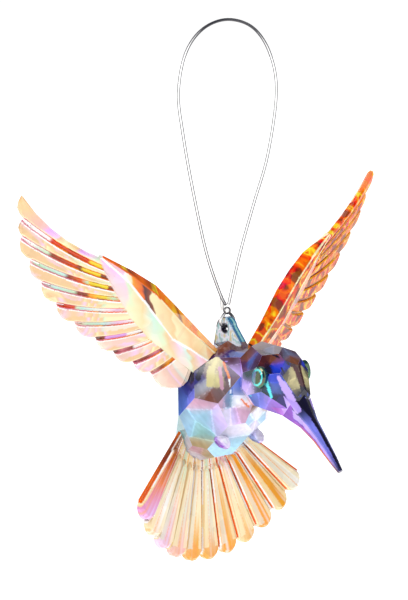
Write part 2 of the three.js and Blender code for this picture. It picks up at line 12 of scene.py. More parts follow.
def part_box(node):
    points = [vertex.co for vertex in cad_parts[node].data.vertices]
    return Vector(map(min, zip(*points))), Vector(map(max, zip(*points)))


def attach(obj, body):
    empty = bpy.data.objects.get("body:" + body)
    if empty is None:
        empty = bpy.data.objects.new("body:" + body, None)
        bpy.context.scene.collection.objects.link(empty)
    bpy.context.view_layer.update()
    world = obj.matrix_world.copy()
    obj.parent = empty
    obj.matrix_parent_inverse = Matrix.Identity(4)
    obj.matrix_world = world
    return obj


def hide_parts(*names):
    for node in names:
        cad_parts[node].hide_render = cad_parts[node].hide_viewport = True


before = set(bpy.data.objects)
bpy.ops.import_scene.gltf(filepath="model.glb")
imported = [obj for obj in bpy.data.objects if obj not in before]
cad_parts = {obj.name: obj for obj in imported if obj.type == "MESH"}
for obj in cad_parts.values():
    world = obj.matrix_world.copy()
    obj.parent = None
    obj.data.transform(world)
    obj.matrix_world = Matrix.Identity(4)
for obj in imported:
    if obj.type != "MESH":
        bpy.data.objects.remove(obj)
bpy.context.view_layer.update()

MM = 0.001
HALF = Vector((0.5, 0.5, 0.5))

# ------------------------------------------------------------------ places

CORD_DIAMETER = 1 * MM
LOOP_TOP = 98.8 * MM            # the cord's highest point above the hole
HOLE_CENTRE = Vector((0, 0, CORD_DIAMETER / 2 - LOOP_TOP))


def at(forward, left, up):
    """A point given in millimetres from the centre of the tab's hole."""
    return HOLE_CENTRE + Vector((left, -forward, up)) * MM


def towards(forward, left, up):
    """A direction given the same way."""
    return Vector((left, -forward, up))


def bird_place(point):
    """(forward, left, up) of a point, in millimetres from the hole."""
    offset = (point - HOLE_CENTRE) / MM
    return Vector((-offset.y, offset.x, offset.z))


# ------------------------------------------------------------------ camera

CAMERA_AZIMUTH = math.radians(-45)
CAMERA_ELEVATION = math.radians(6.8)
CAMERA_DISTANCE = 0.796
CAMERA_LENS = 147
CAMERA_LOOKS_AT = at(-10.49, 0, 8.21)


def make_camera():
    back = Vector((
        math.sin(CAMERA_AZIMUTH) * math.cos(CAMERA_ELEVATION),
        -math.cos(CAMERA_AZIMUTH) * math.cos(CAMERA_ELEVATION),
        math.sin(CAMERA_ELEVATION),
    ))
    data = bpy.data.cameras.new("camera")
    data.lens = CAMERA_LENS
    data.clip_end = 60
    camera = bpy.data.objects.new("camera", data)
    camera.location = CAMERA_LOOKS_AT + back * CAMERA_DISTANCE
    camera.rotation_mode = "QUATERNION"
    camera.rotation_quaternion = (-back).to_track_quat("-Z", "Y")
    bpy.context.scene.collection.objects.link(camera)
    bpy.context.scene.camera = camera


make_camera()


def link(piece):
    bpy.context.scene.collection.objects.link(piece)
    return piece


# ---------------------------------------------------------------- the cord

LOOP_ROUTE = [
    (-0.7, 7.6), (-3.4, 11.8), (-9.4, 25), (-15.4, 45), (-19.8, 63), (-21.8, 76), (-18.6, 88.4),
    (-10.8, 96), (0.4, 98.8), (12, 96), (19.8, 87.6), (22.8, 75), (18.8, 55), (12, 38.8),
    (6.2, 24.5), (2.2, 12.4), (0.7, 7.6),
]


def smooth_route(points, steps=8):
    """Points along a smooth curve (Catmull-Rom) through the given ones."""
    ends = [points[0] * 2 - points[1], *points, points[-1] * 2 - points[-2]]
    route = []
    for a, b, c, d in zip(ends, ends[1:], ends[2:], ends[3:]):
        for step in range(steps):
            t = step / steps
            route.append((
                b * 2 + (c - a) * t + (a * 2 - b * 5 + c * 4 - d) * t ** 2
                + (b * 3 - a - c * 3 + d) * t ** 3
            ) / 2)
    return [*route, points[-1]]


def tube(name, route, radius, sides=12):
    """A closed round tube along a route that lies in the plane across the bird."""
    bm = bmesh.new()
    across = Vector((0, 1, 0))
    rings = []
    for number, point in enumerate(route):
        run = route[min(number + 1, len(route) - 1)] - route[max(number - 1, 0)]
        out = run.cross(across).normalized()
        turns = [2 * math.pi * side / sides for side in range(sides)]
        rings.append([
            bm.verts.new(point + (out * math.cos(turn) + across * math.sin(turn)) * radius)
            for turn in turns
        ])
    for ring, following in zip(rings, rings[1:]):
        for side in range(sides):
            other = (side + 1) % sides
            bm.faces.new((ring[side], ring[other], following[other], following[side]))
    bm.faces.new(rings[0])
    bm.faces.new(rings[-1])
    bmesh.ops.recalc_face_normals(bm, faces=bm.faces)
    for face in bm.faces:
        face.smooth = len(face.verts) == 4
    mesh = bpy.data.meshes.new(name)
    bm.to_mesh(mesh)
    bm.free()
    return link(bpy.data.objects.new(name, mesh))


loop_route = smooth_route([at(0, left, up) for left, up in LOOP_ROUTE])
loop = tube("cord", loop_route, CORD_DIAMETER / 2)
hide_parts("cord_loop")
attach(loop, "loop")
cord_parts = [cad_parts[name] for name in ("cord_bight", "cord_knot", "cord_end")]

# ---------------------------------------------------------- stage and light


def node_of(tree, kind, **values):
    """A new shader node with its properties or input sockets set."""
    node = tree.nodes.new(kind)
    for key, value in values.items():
        socket = node.inputs.get(key.replace("_", " "))
        if socket is not None:
            socket.default_value = value
        else:
            setattr(node, key, value)
    return node


def make_stage():
    bm = bmesh.new()
    bmesh.ops.create_circle(bm, cap_ends=True, segments=96, radius=30)
    mesh = bpy.data.meshes.new("floor")
    bm.to_mesh(mesh)
    bm.free()
    floor = link(bpy.data.objects.new("floor", mesh))
    floor.location.z = -0.6
    paint = bpy.data.materials.new("pale_floor")
    paint.use_nodes = True
    shader = paint.node_tree.nodes["Principled BSDF"]
    shader.inputs["Base Color"].default_value = (0.95, 0.95, 0.95, 1)
    shader.inputs["Roughness"].default_value = 1
    shader.inputs["Emission Color"].default_value = (1, 1, 1, 1)
    shader.inputs["Emission Strength"].default_value = 0.65
    mesh.materials.append(paint)


def make_world():
    """A white surround. Mirrored light is dimmer, and bent light comes in bright and dark bands."""
    world = bpy.data.worlds.new("studio")
    bpy.context.scene.world = world
    world.use_nodes = True
    tree = world.node_tree
    tree.nodes.clear()
    coordinates = node_of(tree, "ShaderNodeTexCoord")
    parts = node_of(tree, "ShaderNodeSeparateXYZ")
    tree.links.new(coordinates.outputs["Generated"], parts.inputs[0])
    round_angle = node_of(tree, "ShaderNodeMath", operation="ARCTAN2")
    tree.links.new(parts.outputs["Y"], round_angle.inputs[0])
    tree.links.new(parts.outputs["X"], round_angle.inputs[1])
    turned = node_of(tree, "ShaderNodeMath", operation="SUBTRACT")
    tree.links.new(round_angle.outputs[0], turned.inputs[0])
    turned.inputs[1].default_value = math.radians(45)
    tripled = node_of(tree, "ShaderNodeMath", operation="MULTIPLY")
    tree.links.new(turned.outputs[0], tripled.inputs[0])
    tripled.inputs[1].default_value = 3
    wave = node_of(tree, "ShaderNodeMath", operation="COSINE")
    tree.links.new(tripled.outputs[0], wave.inputs[0])
    cards = node_of(tree, "ShaderNodeMapRange", interpolation_type="SMOOTHSTEP")
    cards.inputs["From Min"].default_value = -0.25
    cards.inputs["From Max"].default_value = 0.25
    cards.inputs["To Min"].default_value = 0.12
    cards.inputs["To Max"].default_value = 1.1
    tree.links.new(wave.outputs[0], cards.inputs["Value"])
    dim = node_of(tree, "ShaderNodeMapRange", interpolation_type="SMOOTHSTEP")
    dim.inputs["From Min"].default_value = 0.72
    dim.inputs["From Max"].default_value = 0.84
    dim.inputs["To Min"].default_value = 0.12
    dim.inputs["To Max"].default_value = 1.3
    tree.links.new(wave.outputs[0], dim.inputs["Value"])
    path = node_of(tree, "ShaderNodeLightPath")

    def background(strength):
        node = node_of(tree, "ShaderNodeBackground", Color=(1, 1, 1, 1))
        if isinstance(strength, float):
            node.inputs["Strength"].default_value = strength
        else:
            tree.links.new(strength, node.inputs["Strength"])
        return node.outputs[0]

    def choose(test, otherwise, chosen):
        mix = node_of(tree, "ShaderNodeMixShader")
        tree.links.new(path.outputs[test], mix.inputs[0])
        tree.links.new(otherwise, mix.inputs[1])
        tree.links.new(chosen, mix.inputs[2])
        return mix.outputs[0]

    shader = background(0.66)
    shader = choose("Is Glossy Ray", shader, background(dim.outputs[0]))
    shader = choose("Is Transmission Ray", shader, background(cards.outputs[0]))
    shader = choose("Is Camera Ray", shader, background(1.05))
    out = node_of(tree, "ShaderNodeOutputWorld")
    tree.links.new(shader, out.inputs["Surface"])


LAMPS_AIM_AT = at(5, 0, -20)


def make_lamp(name, place, size, power):
    data = bpy.data.lights.new(name, "AREA")
    data.shape = "RECTANGLE"
    data.size, data.size_y = size
    data.energy = power
    lamp = link(bpy.data.objects.new(name, data))
    lamp.location = place
    aim = LAMPS_AIM_AT - lamp.location
    lamp.rotation_mode = "QUATERNION"
    lamp.rotation_quaternion = aim.to_track_quat("-Z", "Y")


make_stage()
make_world()
make_lamp("key", at(300, -1000, 600), (0.4, 0.7), 5)
make_lamp("fill", at(500, 900, 300), (0.4, 0.6), 1.5)
make_lamp("top", at(-100, -100, 900), (0.6, 0.6), 2.5)
make_lamp("back", at(-900, 200, 300), (0.5, 0.5), 3)
bpy.context.scene.view_settings.view_transform = "Standard"

# --------------------------------------------------------- mesh and colour


def paint(red, green, blue):
    """A linear colour from 0 to 255 display values."""
    colour = Color((red / 255, green / 255, blue / 255)).from_srgb_to_scene_linear()
    return Vector(colour)


def blend(a, b, share):
    return a.lerp(b, min(max(share, 0), 1))


def along(stops, place):
    """A colour between the (place, colour) stops."""
    if place <= stops[0][0]:
        return stops[0][1]
    for (start, first), (end, second) in zip(stops, stops[1:]):
        if place <= end:
            return blend(first, second, (place - start) / (end - start))
    return stops[-1][1]


def facets_of(node):
    """A CAD node's shape with one numbered face for each flat facet."""
    bm = bmesh.new()
    bm.from_mesh(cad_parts[node].data)
    bmesh.ops.remove_doubles(bm, verts=bm.verts, dist=2e-6)
    bmesh.ops.dissolve_limit(bm, angle_limit=math.radians(1), verts=bm.verts, edges=bm.edges)
    layer = bm.faces.layers.int.new("facet")
    bm.faces.ensure_lookup_table()
    for face in bm.faces:
        face[layer] = face.index + 1
    return bm


def soften(bm, bevel, steps):
    """Rounds the sharp convex edges. Their new faces belong to facet 0."""
    sharp = [
        edge for edge in bm.edges
        if len(edge.link_faces) == 2 and edge.is_convex
        and edge.calc_face_angle() > math.radians(9) and edge.calc_length() > 2.5 * bevel
    ]
    rounded = bmesh.ops.bevel(
        bm, geom=sharp, offset=bevel, segments=steps, profile=0.6,
        affect="EDGES", clamp_overlap=True,
    )
    layer = bm.faces.layers.int["facet"]
    for face in rounded["faces"]:
        face[layer] = 0


def refine(bm, longest):
    """Cuts a shape fine enough to hold a painted pattern."""
    bmesh.ops.triangulate(bm, faces=bm.faces)
    for _ in range(8):
        long_edges = [edge for edge in bm.edges if edge.calc_length() > longest]
        if not long_edges:
            break
        bmesh.ops.subdivide_edges(bm, edges=long_edges, cuts=1)
        bmesh.ops.triangulate(bm, faces=bm.faces)


def fine_copy(node, bevel, steps, longest):
    bm = facets_of(node)
    soften(bm, bevel, steps)
    refine(bm, longest)
    return bm


def finished(name, bm, rule, material, node, body):
    """The piece that stands for a CAD node, painted by a rule of place and facet."""
    facet = bm.faces.layers.int["facet"]
    tint = bm.loops.layers.float_color.new("tint")
    known = {}
    for face in bm.faces:
        for corner in face.loops:
            key = (corner.vert.index, face[facet])
            if key not in known:
                known[key] = (*rule(corner.vert.co, face[facet]), 1)
            corner[tint] = known[key]
    mesh = bpy.data.meshes.new(name)
    bm.to_mesh(mesh)
    bm.free()
    mesh.materials.append(material)
    piece = link(bpy.data.objects.new(name, mesh))
    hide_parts(node)
    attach(piece, body)


ACRYLIC_ROUGHNESS = 0.04
ACRYLIC_IOR = 1.49
HUE_SHARE = 0.12                # a flake's shift of hue, as a share of its shift of brightness


def acrylic(name, transmission, flake_size, flake_share, film=0):
    """Painted clear acrylic: the tint, broken up by small crystal-like cells."""
    material = bpy.data.materials.new(name)
    material.use_nodes = True
    tree = material.node_tree
    shader = tree.nodes["Principled BSDF"]
    tint = node_of(tree, "ShaderNodeAttribute", attribute_name="tint")
    coordinates = node_of(tree, "ShaderNodeTexCoord")
    cells = node_of(tree, "ShaderNodeTexVoronoi", Scale=1 / flake_size, Randomness=1.0)
    tree.links.new(coordinates.outputs["Object"], cells.inputs["Vector"])
    grey = node_of(tree, "ShaderNodeSeparateColor")
    tree.links.new(cells.outputs["Color"], grey.inputs[0])
    value = node_of(tree, "ShaderNodeMapRange")
    value.inputs["To Min"].default_value = 1 - flake_share
    value.inputs["To Max"].default_value = 1 + flake_share
    tree.links.new(grey.outputs[0], value.inputs["Value"])
    hue = node_of(tree, "ShaderNodeMapRange")
    hue.inputs["To Min"].default_value = 0.5 - HUE_SHARE * flake_share
    hue.inputs["To Max"].default_value = 0.5 + HUE_SHARE * flake_share
    tree.links.new(grey.outputs[1], hue.inputs["Value"])
    shift = node_of(tree, "ShaderNodeHueSaturation")
    tree.links.new(tint.outputs["Color"], shift.inputs["Color"])
    tree.links.new(value.outputs[0], shift.inputs["Value"])
    tree.links.new(hue.outputs[0], shift.inputs["Hue"])
    tree.links.new(shift.outputs[0], shader.inputs["Base Color"])
    worn = node_of(tree, "ShaderNodeTexNoise", Scale=420.0, Detail=3.0)
    tree.links.new(coordinates.outputs["Object"], worn.inputs["Vector"])
    haze = node_of(tree, "ShaderNodeMapRange")
    haze.inputs["To Min"].default_value = ACRYLIC_ROUGHNESS * 0.5
    haze.inputs["To Max"].default_value = ACRYLIC_ROUGHNESS * 1.8
    tree.links.new(worn.outputs["Fac"], haze.inputs["Value"])
    tree.links.new(haze.outputs[0], shader.inputs["Roughness"])
    shader.inputs["Transmission Weight"].default_value = transmission
    shader.inputs["IOR"].default_value = ACRYLIC_IOR
    shader.inputs["Coat Weight"].default_value = 0.3
    shader.inputs["Coat Roughness"].default_value = 0.02
    shader.inputs["Thin Film Thickness"].default_value = film
    shader.inputs["Thin Film IOR"].default_value = 1.8
    return material


# ---------------------------------------------------------------- the body

CLEAR = paint(226, 230, 240)
PEARL = paint(206, 202, 226)
STONE = paint(170, 174, 186)
SMOKE_BLUE = paint(98, 104, 136)
TAUPE = paint(112, 92, 96)
OLIVE = paint(172, 152, 110)
KHAKI = paint(150, 132, 118)
SAND = paint(206, 196, 142)
UMBER = paint(118, 66, 46)
COPPER = paint(216, 110, 48)
MAROON = paint(70, 24, 32)
PLUM = paint(62, 32, 84)
VIOLET = paint(134, 72, 188)
MAGENTA = paint(160, 84, 188)
LAVENDER = paint(192, 164, 252)
LILAC = paint(194, 174, 230)
MAUVE_ROSE = paint(190, 144, 168)
MIDNIGHT = paint(16, 12, 44)
INDIGO = paint(44, 40, 116)
BLUE = paint(20, 64, 206)
STEEL = paint(70, 96, 170)
PERIWINKLE = paint(118, 124, 224)
TEAL = paint(30, 110, 150)
DARK_TEAL = paint(14, 52, 62)
CYAN = paint(84, 232, 240)
SKY = paint(150, 196, 224)
AQUA = paint(144, 200, 200)

# (forward, out to the side, up) in millimetres from the hole, with the tint there.
# A tint spreads over its own facet only, as far as the next tint on it. Each holds the body's own
# colour together with the reflections, refractions and shade seen in that facet, painted in.
BODY_TINTS_AND_REFLECTIONS = [
    # back of the torso
    (7.6, 5.6, -6.8, INDIGO), (4.6, 6, -6.2, UMBER), (8, 2.2, -6, TAUPE), (9.6, 4.4, -7, STEEL),
    (6.2, 3, -6, MAROON), (3, 5, -5.5, UMBER), (-1, 6, -6, PLUM), (-4, 7, -7, INDIGO),
    (4.5, 11, -8, PLUM), (6, 10.5, -8.6, SAND),
    # shoulder
    (1.5, 12.6, -11, MAGENTA), (-1, 13.6, -12.5, VIOLET), (-1, 14.6, -15, MIDNIGHT),
    (-2.6, 15, -18.6, INDIGO), (-4.4, 15, -22, STEEL), (-7.4, 14.4, -24, SKY),
    (0.4, 14.6, -21.4, PERIWINKLE), (-7, 12, -12, VIOLET), (-10, 10, -14, PLUM),
    (4.6, 12.4, -12.6, KHAKI), (7, 11.6, -14.6, SAND), (3.4, 13.6, -17.2, STONE),
    (3.2, 13.6, -21.6, MAUVE_ROSE), (5.4, 12.8, -20.4, UMBER), (7.2, 12, -19.4, TAUPE),
    (8.8, 11.4, -21.4, MAUVE_ROSE), (1.8, 14.4, -14.6, INDIGO),
    # neck
    (9.4, 9.6, -12.6, PLUM), (10.2, 10, -16.6, TAUPE), (11, 8.4, -11.4, LILAC),
    (10, 8, -9, MAROON), (11.4, 6, -8.5, MAGENTA), (14.4, 8.6, -11.4, LAVENDER),
    (14.2, 8.4, -15.2, PERIWINKLE), (13.4, 8, -18.4, STEEL), (16.4, 7.6, -19, LILAC),
    # crown and brow
    (18.6, 2.4, -4.3, TAUPE), (21.8, 3.6, -4.6, SMOKE_BLUE), (24, 1.4, -4.6, TAUPE),
    (20.6, 5.2, -5.4, MAROON), (27.4, 1.4, -5.8, SMOKE_BLUE), (28.8, 0.8, -7.2, UMBER),
    (26.4, 3, -5.4, MAROON), (29.2, 3, -7.8, MIDNIGHT), (16, 6, -7.2, UMBER),
    (18, 7.4, -8, STEEL), (20.4, 7.4, -8.2, MAROON), (15.6, 8.4, -9.6, PLUM),
    (24, 6.8, -7.4, MAROON), (26.4, 5.6, -7.2, UMBER), (27.4, 6, -9.4, BLUE),
    (25.2, 7.8, -9.6, MIDNIGHT), (29, 4.4, -8.8, BLUE),
    # forehead
    (31.4, 2.6, -11.2, SAND), (32.4, 2, -14.4, SAND), (30.6, 0.3, -9.6, MAROON),
    (32.8, 0.3, -13.6, MIDNIGHT), (33.4, 2, -17.2, MIDNIGHT), (34, 0.5, -18.5, BLUE),
    (30.2, 4.2, -11, MIDNIGHT),
    # cheek
    (18.4, 9.6, -12.6, DARK_TEAL), (20, 9.6, -17.4, LILAC), (17.6, 9.6, -16, LAVENDER),
    (22.6, 9.5, -17, DARK_TEAL), (24, 9.2, -8.8, MAROON), (25.6, 8.6, -15.4, DARK_TEAL),
    (26.4, 8.4, -10.6, MIDNIGHT), (27.8, 7.2, -12.4, BLUE), (28, 7, -15.4, STEEL),
    (27.8, 7, -19, MIDNIGHT), (29, 6, -20.4, INDIGO), (31, 5, -21, LAVENDER),
    (20.6, 8, -20.6, STEEL), (23, 7.2, -21.2, PERIWINKLE), (25, 6.2, -22.6, VIOLET),
    (27.4, 5.6, -22.6, MAGENTA), (30.2, 4.6, -24, VIOLET), (20.6, 4, -24, MAGENTA),
    (25, 2, -24.4, COPPER),
    # flank
    (3.4, 13, -27.6, SKY), (-0.6, 13.6, -33, AQUA), (7, 11.4, -27.6, LILAC),
    (-4.4, 13.6, -31, SKY), (-12, 11.8, -25, AQUA), (-10, 12.4, -31, SKY),
    (-9, 12.2, -34.6, AQUA), (-6.6, 11.6, -37.4, PEARL), (10.2, 10.4, -21.4, TEAL),
    # breast
    (9.4, 9.8, -26, PEARL), (11.6, 8.6, -26, LILAC), (13, 6.8, -25.4, MAUVE_ROSE),
    (12.6, 7.8, -21.6, CLEAR), (14.4, 5.4, -21.6, COPPER), (14.6, 3, -23.2, UMBER),
    (13.6, 0.6, -26.4, CLEAR), (12.8, 2.8, -28.6, SKY), (12.4, 1, -30.4, PEARL),
    (9, 4.4, -32, PEARL), (6.4, 2, -35.6, SKY), (4.6, 7.6, -35.4, LILAC),
    # vent
    (-2.4, 11, -37.6, OLIVE), (-5.8, 8.6, -40.2, MAUVE_ROSE), (-3, 6.4, -41.6, OLIVE),
    (-8, 6, -41, PEARL), (0.4, 2.4, -41.8, STONE), (-5, 1.6, -43.2, MAUVE_ROSE),
    # feet
    (6.4, 9.6, -36.2, VIOLET), (3.8, 9, -37, INDIGO), (7.6, 8.8, -34.4, CLEAR),
    (4.4, 6.4, -37.4, TEAL),
    # rump
    (-12, 8, -18, INDIGO), (-16, 4, -28, PERIWINKLE), (-8, 4, -10, PLUM), (-17, 0, -36, SKY),
    (-14, 8, -34, TEAL), (-14, 6, -22, VIOLET), (-13, 2, -16, MAROON), (-16, 5, -38, AQUA),
]
TINT_EDGE = 0.5                 # how far one tint runs into the next
HIGHLIGHT_LINE_WIDTH = 0.3                 # how wide the painted highlight line between two tints is
HIGHLIGHT_LINE_GAIN = 1.3                # and how much brighter that painted highlight is
PATCH_REACH = 3.2               # how far from its place a tint is fully graded, lighter on one side and darker on the other as painted shade
BEAK_START = 33
BEAK_BROW = -17                 # the beak's upper edge where it starts
BEAK_SLOPE = 0.8                # and how fast that edge falls

# thin painted lines: their two ends, half their width, and the tint. Besides the body's colour they
# paint reflections, highlights and shade, such as the cyan highlights by the eye.
BODY_LINES = [
    ((24.6, 9.4, -8.6), (27.2, 8, -18.6), 0.5, CYAN),
    ((29, 6.4, -12.4), (30.4, 5.6, -14.6), 0.7, LAVENDER),
    ((30.2, 5.8, -14.4), (34.4, 3.4, -22.4), 1.15, LAVENDER),
    ((19.4, 9.7, -18.9), (26.6, 8.4, -20), 0.3, CYAN),
    ((26.6, 8.2, -20), (29.8, 5.8, -22.4), 0.3, CYAN),
    ((17.4, 9.7, -9.4), (23.6, 9.6, -8.6), 0.25, STEEL),
    ((8.6, 9.4, -9), (13.2, 6.6, -7.8), 0.35, LAVENDER),
    ((6.2, 10.6, -8.4), (5, 12.4, -11.8), 0.7, SAND),
    ((5, 12.4, -11.8), (5.2, 13.2, -16), 1.35, SAND),
    ((7.4, 10.8, -11.2), (9, 11.4, -17.4), 0.6, MAUVE_ROSE),
    ((8.2, 10, -9.2), (10.6, 9.8, -14.2), 0.4, COPPER),
    ((10.6, 9.8, -14.2), (11.4, 9.8, -18.8), 0.3, CLEAR),
    ((2.2, 13.4, -10.2), (1.4, 14.6, -14.6), 0.9, MIDNIGHT),
    ((1.4, 14.6, -14.6), (-0.8, 15.2, -18.4), 0.7, INDIGO),
    ((13.2, 7, -21), (14, 4.4, -23.6), 0.35, COPPER),
    ((20.8, 5.4, -5.2), (26.2, 4.6, -6), 0.3, MIDNIGHT),
    ((26.2, 4.6, -6), (30, 2.8, -8.4), 0.3, MIDNIGHT),
    ((31.2, 1, -9.6), (33.6, 0.6, -14.6), 0.8, MAROON),
    ((33.6, 0.6, -14.6), (34.2, 0.6, -18.4), 0.8, MIDNIGHT),
    ((29.2, 5.4, -9.4), (31.4, 3.9, -15.8), 0.35, MIDNIGHT),
    ((31.6, 3.8, -16), (33.6, 1.6, -17.2), 0.35, MIDNIGHT),
]
body_lines = [(Vector(start), Vector(end), width, tint) for start, end, width, tint in BODY_LINES]
HOLE_RADIUS = 1.4
TAB_RADIUS = 3.8
TAB_REAR = -4.8
TAB_FRONT = 3.38                # from the hole's centre straight out to the front edge
TAB_FRONT_NORMAL = Vector((0.777, 0, 0.63))
TAB_FLOOR = -5.2
TAB_REACH = 7.5
TAB_HALF_THICKNESS = 1.4        # with room for the rounded edges


def distance_to_line(place, start, end):
    """How far a place is from the nearest point of a straight line's length."""
    run = end - start
    share = min(max((place - start).dot(run) / run.length_squared, 0), 1)
    return (place - start - run * share).length


def tree_of(points):
    tree = KDTree(len(points))
    for number, point in enumerate(points):
        tree.insert(point, number)
    tree.balance()
    return tree


def tab_painted_light_and_shade(place):
    """The hang tab: nearly clear, so its colours are painted light and shade: painted shade dark
    round its hole and along its edges, and blue painted reflections down its front.
    """
    to_hole = math.hypot(place.x, place.z)
    to_front = TAB_FRONT - TAB_FRONT_NORMAL.dot(place)
    # Painted shade round the hole, where its wall is in shadow.
    if to_hole < HOLE_RADIUS + 0.4:
        return blend(MIDNIGHT, STONE, (to_hole - HOLE_RADIUS) * 2)
    if place.x < TAB_REAR + 0.9 and place.z < 1:
        return MIDNIGHT if place.x < TAB_REAR + 0.5 else SAND
    if to_front < 0.08:
        return AQUA if abs(place.y) < 0.5 else TEAL
    if to_front < 0.8:
        return INDIGO if to_front < 0.3 else SKY
    if place.z > 0 and to_hole > TAB_RADIUS - 0.35:
        return TAUPE
    ripple = noise.noise(Vector((place.x * 0.9, place.y * 0.3, place.z * 0.7)))
    return along([
        (-0.5, STONE), (-0.3, AQUA), (-0.1, CLEAR), (0.1, CLEAR), (0.2, PEARL), (0.4, SAND),
    ], ripple)


def tints_by_facet(bm):
    """The (place, tint) pairs that lie on each facet of both sides of the body."""
    tree = BVHTree.FromBMesh(bm)
    found = {}
    for forward, out, up, tint in BODY_TINTS_AND_REFLECTIONS:
        for side in (1, -1):
            place = Vector((forward, side * out, up))
            facet = tree.find_nearest(at(*place))[2] + 1
            found.setdefault(facet, []).append((place, tint))
    return found


def nearest_tint(place, tints, tree):
    """The nearest tint, with painted shade grading it from lighter to darker across its patch, and
    a painted highlight line at its edge.
    """
    ranked = tree.find_n(place, 2)
    centre, number, distance = ranked[0]
    slope = noise.cell_vector(centre * 7) - HALF
    grade = (place - centre).dot(slope.normalized()) / PATCH_REACH
    colour = tints[number] * (1 + 0.3 * min(max(grade, -1), 1))
    if len(ranked) == 1:
        return colour
    to_join = ranked[1][2] - distance
    other = tints[ranked[1][1]]
    colour = blend(colour, other, 0.5 - 0.5 * to_join / TINT_EDGE)
    colour = blend(colour, other, 0.35 * (1 - to_join / PATCH_REACH))
    return colour * HIGHLIGHT_LINE_GAIN if to_join < HIGHLIGHT_LINE_WIDTH else colour


BEAK_AXIS = [
    (31, Vector((-22.6, 10.6))), (36, Vector((-26.8, 6.2))), (40.6, Vector((-31, 4.5))),
    (46, Vector((-36.8, 3.1))), (49.3, Vector((-40.4, 1.8))),
]


def beak_tint(place):
    """Lavender sides over a copper keel, and a darker upper side with a black ridge."""
    tip_share = min(max((place.x - 45) / 4, 0), 1)
    middle, height = along(BEAK_AXIS, place.x)
    rise = (place.z - middle) * 1.4 / height
    shine = 1 + 0.25 * noise.noise(Vector((place.x * 0.35, place.y, 4.0)))
    if rise > 0.86 or place.y < 0.3:
        colour = MIDNIGHT
    elif rise > 0.3:
        colour = blend(MIDNIGHT, PERIWINKLE, (place.x - 34.5) / 4 + 0.6 * (0.6 - rise))
    elif rise > -0.1:
        colour = LAVENDER
    elif rise > -0.24:
        colour = VIOLET
    else:
        colour = blend(MAGENTA, COPPER, (place.x - 34) / 8)
    return blend(colour * shine, MIDNIGHT, tip_share * 0.85)


def tinted_tree(pairs):
    """The tints of (place, tint) pairs, and a search tree of their places."""
    return [tint for _, tint in pairs], tree_of([place for place, _ in pairs])


def body_rule(bm):
    """A rule that gives the colour of any point of the body, with its painted light and shade."""
    on_facet = tints_by_facet(bm)
    everywhere = tinted_tree([pair for pairs in on_facet.values() for pair in pairs])
    trees = {facet: tinted_tree(pairs) for facet, pairs in on_facet.items()}

    def rule(point, facet):
        place = bird_place(point)
        on_tab = abs(place.y) < TAB_HALF_THICKNESS and place.x < TAB_REACH
        if on_tab and place.z > TAB_FLOOR:
            return tab_painted_light_and_shade(place)
        mirrored = Vector((place.x, abs(place.y), place.z))
        for start, end, width, tint in body_lines:
            if distance_to_line(mirrored, start, end) < width:
                return tint
        beak_top = BEAK_BROW - (place.x - BEAK_START + 1) * BEAK_SLOPE
        if place.x > BEAK_START and place.z < beak_top:
            return beak_tint(mirrored)
        colour = nearest_tint(place, *trees.get(facet, everywhere))
        if facet == 0:
            # Painted highlight: the rounded edges are lightened towards lavender or clear in
            # glints.
            glint = noise.noise(place * 0.35)
            return blend(colour, LAVENDER if glint > 0 else CLEAR, 0.35 + glint)
        # Painted shade: each facet is lighter on one side than the other by a wave across it, with
        # faint streaks of painted light.
        slope = noise.cell_vector(Vector((facet * 1.7, facet * 0.3, 2.0))) - HALF
        shade = 1 + 0.5 * math.sin(0.35 * place.dot(slope) + facet)
        streak = noise.noise(Vector((place.x * 0.9 + place.z * 0.5, place.y, place.z * 0.16)))
        return colour * (0.8 + 0.2 * shade + 0.15 * streak)
    return rule


body_facets = facets_of("body")
body_tint = body_rule(body_facets)
soften(body_facets, 0.18 * MM, 1)
refine(body_facets, 0.55 * MM)
finished(
    "bird_body", body_facets, body_tint, acrylic("body_acrylic", 0.1, 9 * MM, 0.06),
    "body", "bird",
)

# --------------------------------------------------------------- the wings

WING_ROOT = at(3.3, 8.8, -5)
SPAN_AXIS = towards(-0.125, 0.796, 0.592).normalized()
WING_FACING = towards(0.88, 0.365, -0.305)


def across_span(direction):
    """The part of a direction that is square to the span."""
    return (direction - SPAN_AXIS * direction.dot(SPAN_AXIS)).normalized()


CHORD_AXIS = SPAN_AXIS.cross(across_span(WING_FACING))


def wing_place(point):
    """(chord, span) on the wing in millimetres, for either wing."""
    left = Vector((abs(point.x), point.y, point.z))
    offset = (left - WING_ROOT) / MM
    return offset.dot(CHORD_AXIS), offset.dot(SPAN_AXIS)


def line_through(corners):
    """A function that follows straight stretches between (span, chord) corners."""
    def value(span):
        if span <= corners[0][0]:
            return corners[0][1]
        for (start, first), (end, second) in zip(corners, corners[1:]):
            if span <= end:
                return first + (second - first) * (span - start) / (end - start)
        return corners[-1][1]
    return value


leading_edge = line_through([(-6, 0.6), (0, 0), (12, -1.3), (30.5, -3.4), (41, -2.3), (54, -0.4)])
plate_ridge = line_through([(-6, 4), (8, 5.2), (15.5, 6.2), (31, 2.8), (41, 0.9), (54, 0.4)])
plate_seam = line_through([
    (-6, 10.2), (6, 10.8), (21, 10.8), (31, 9.4), (41, 6.4), (49.5, 3.2), (54, 0.9),
])
GROOVE_LENGTHS = [33, 33.5, 30.5, 27.5, 24, 20, 16, 13.5, 11, 9.5]
FIRST_GROOVE_SPAN = 49.9
GROOVE_PITCH = 3.6
PITCH_GAIN = 0.1
FIRST_HEADING = math.radians(7)
GROOVE_FAN = math.radians(4.9)
FAN_GAIN = math.radians(0.28)
GROOVE_BOW = math.radians(8)
GROOVE_OVERLAP = 0.8            # how far a groove starts inside the plate


def bezier(start, middle, end, share):
    return start * (1 - share) ** 2 + middle * 2 * share * (1 - share) + end * share ** 2


GROOVE_STEPS = 120


